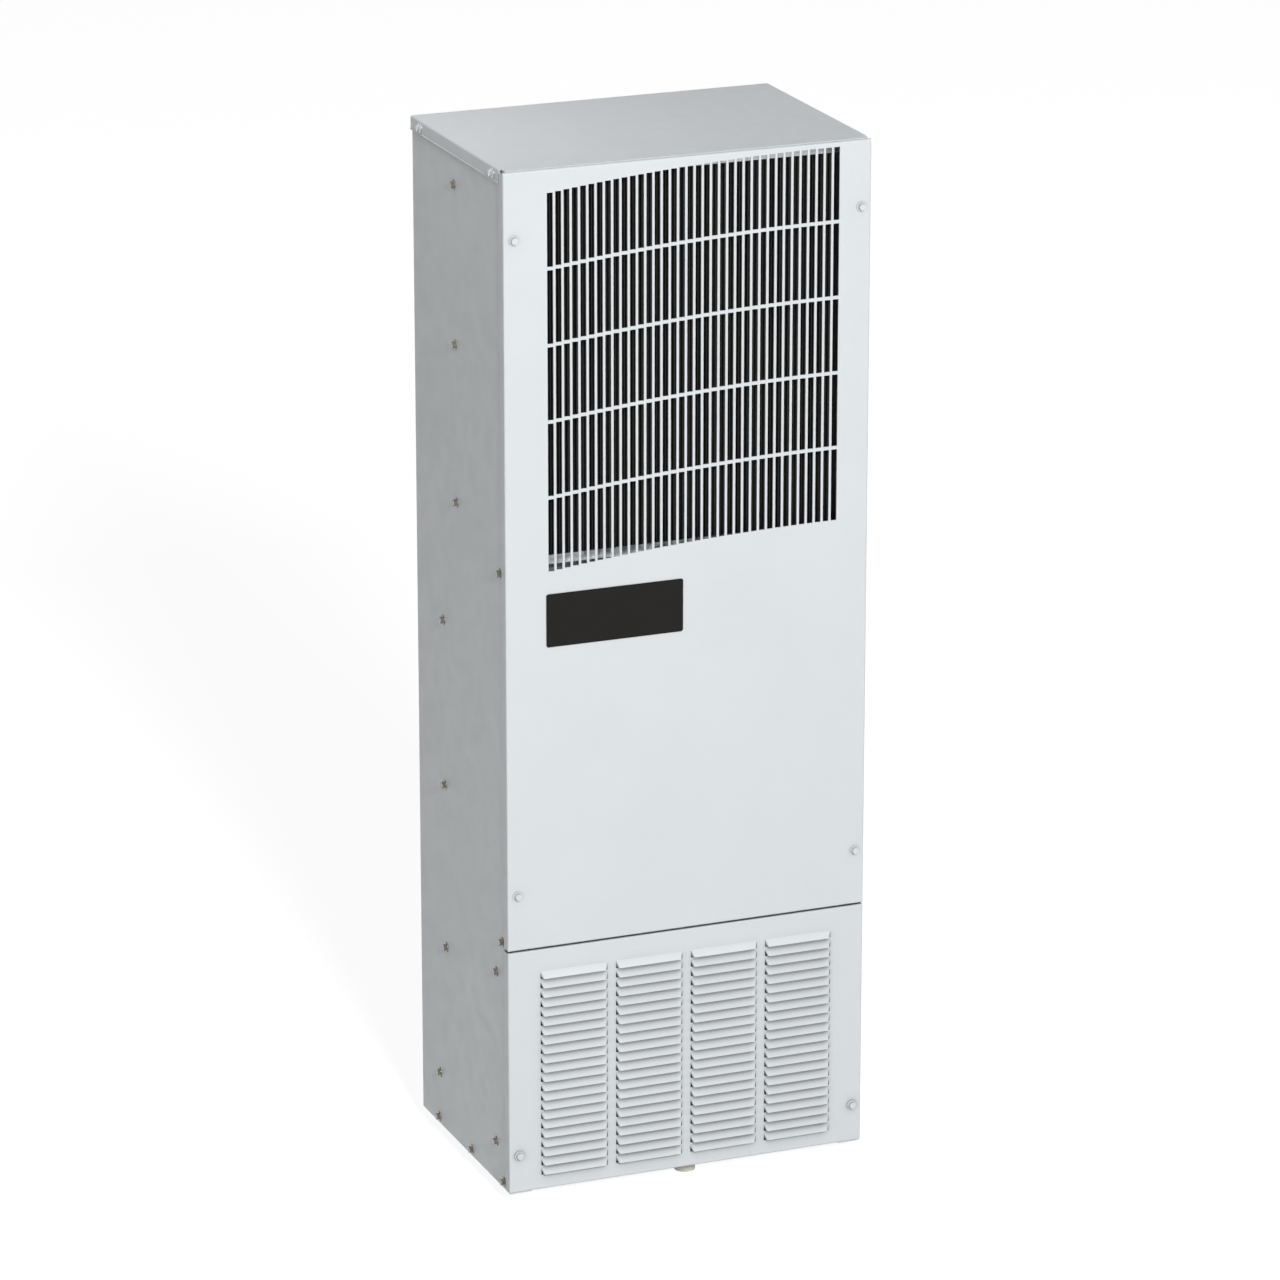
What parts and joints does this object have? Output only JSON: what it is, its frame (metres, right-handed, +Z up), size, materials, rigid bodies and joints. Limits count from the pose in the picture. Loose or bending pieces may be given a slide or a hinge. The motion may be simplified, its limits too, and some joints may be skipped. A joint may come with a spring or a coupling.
{
  "type": "enclosure cooling unit",
  "caption": "Tall side-mounted enclosure cooling unit with a slotted inlet grille, louvered outlet, coils, blowers, compressor and a gasketed rear mounting face.",
  "frame": {"origin": "centre of the pattern of mounting holes, on the plane of the rear flanges", "axes": "+X to the right seen from the front, +Y out of the rear mounting face towards the enclosure, +Z up"},
  "size_m": [0.507, 0.343, 1.38],
  "materials": {
    "paint": "light grey powder coat with orange peel",
    "zinc_sheet": "galvanised",
    "bronze_screw": "dull brownish zinc plate",
    "copper_tube": "drawn copper",
    "dark_fins": "dark coated",
    "bare_fins": "mill",
    "dark_foam": "closed-cell foam",
    "black_plastic": "matt",
    "black_paint": "satin black",
    "plate_face": "satin, blank",
    "pale_plastic": "translucent natural plastic",
    "black_rubber": "matt"
  },
  "bodies": {
    "cabinet": {"left_side_panel": "paint", "right_side_panel": "paint", "rear_panel": "paint", "base_pan": "paint", "top_cover": "paint", "upper_front_panel": "paint", "lower_front_panel": "paint", "name_plate": "plate_face", "front_panel_screws": "paint", "cover_screws": "zinc_sheet", "side_screws": "bronze_screw", "rear_screws": "zinc_sheet", "mounting_inserts": "zinc_sheet", "mounting_gasket": "dark_foam", "seam_rail": "zinc_sheet", "bulkhead": "zinc_sheet", "bulkhead_insulation": "dark_foam", "coil_shelf": "zinc_sheet", "coil_seal_strip": "dark_foam", "condenser_fins": "dark_fins", "condenser_tubes": "copper_tube", "condenser_frame": "zinc_sheet", "condenser_shroud": "zinc_sheet", "condenser_inlet_ring": "zinc_sheet", "condenser_motor_stator": "zinc_sheet", "evaporator_fins": "bare_fins", "evaporator_tubes": "copper_tube", "evaporator_frame": "zinc_sheet", "evaporator_inlet_ring": "zinc_sheet", "evaporator_motor_stator": "zinc_sheet", "evaporator_motor_bracket": "zinc_sheet", "evaporator_drain_pan": "zinc_sheet", "drain_hose": "pale_plastic", "drain_fitting": "pale_plastic", "inlet_guard": "zinc_sheet", "outlet_guard": "paint", "compressor_deck": "zinc_sheet", "compressor_shell": "black_paint", "compressor_feet": "black_paint", "compressor_grommets": "black_rubber", "compressor_bolts": "zinc_sheet", "compressor_terminal_cover": "black_plastic", "accumulator": "black_paint", "filter_drier": "copper_tube", "discharge_line": "copper_tube", "liquid_line": "copper_tube", "capillary_tube": "copper_tube", "suction_line": "copper_tube", "control_box": "zinc_sheet", "control_box_cover": "zinc_sheet", "run_capacitor": "zinc_sheet", "contactor": "black_plastic", "terminal_block": "pale_plastic", "thermostat_body": "pale_plastic", "cable_grommet": "black_rubber"},
    "condenser_fan": {"condenser_impeller": "black_plastic", "condenser_motor_rotor": "black_paint"},
    "evaporator_fan": {"evaporator_impeller": "black_plastic", "evaporator_motor_rotor": "black_paint"},
    "thermostat_dial": {"thermostat_knob": "black_plastic"}
  },
  "joints": [
    {"name": "condenser_fan_spin", "type": "hinge", "parent": "cabinet", "child": "condenser_fan", "pos_m": [0, -0.18, 0.4165], "axis": [0, 1, 0], "continuous": true},
    {"name": "evaporator_fan_spin", "type": "hinge", "parent": "cabinet", "child": "evaporator_fan", "pos_m": [0, -0.08, 0.4165], "axis": [0, 1, 0], "continuous": true},
    {"name": "thermostat_turn", "type": "hinge", "parent": "cabinet", "child": "thermostat_dial", "pos_m": [-0.0559, -0.31, -0.1926], "axis": [0, -1, 0], "range_deg": [0, 270]}
  ]
}
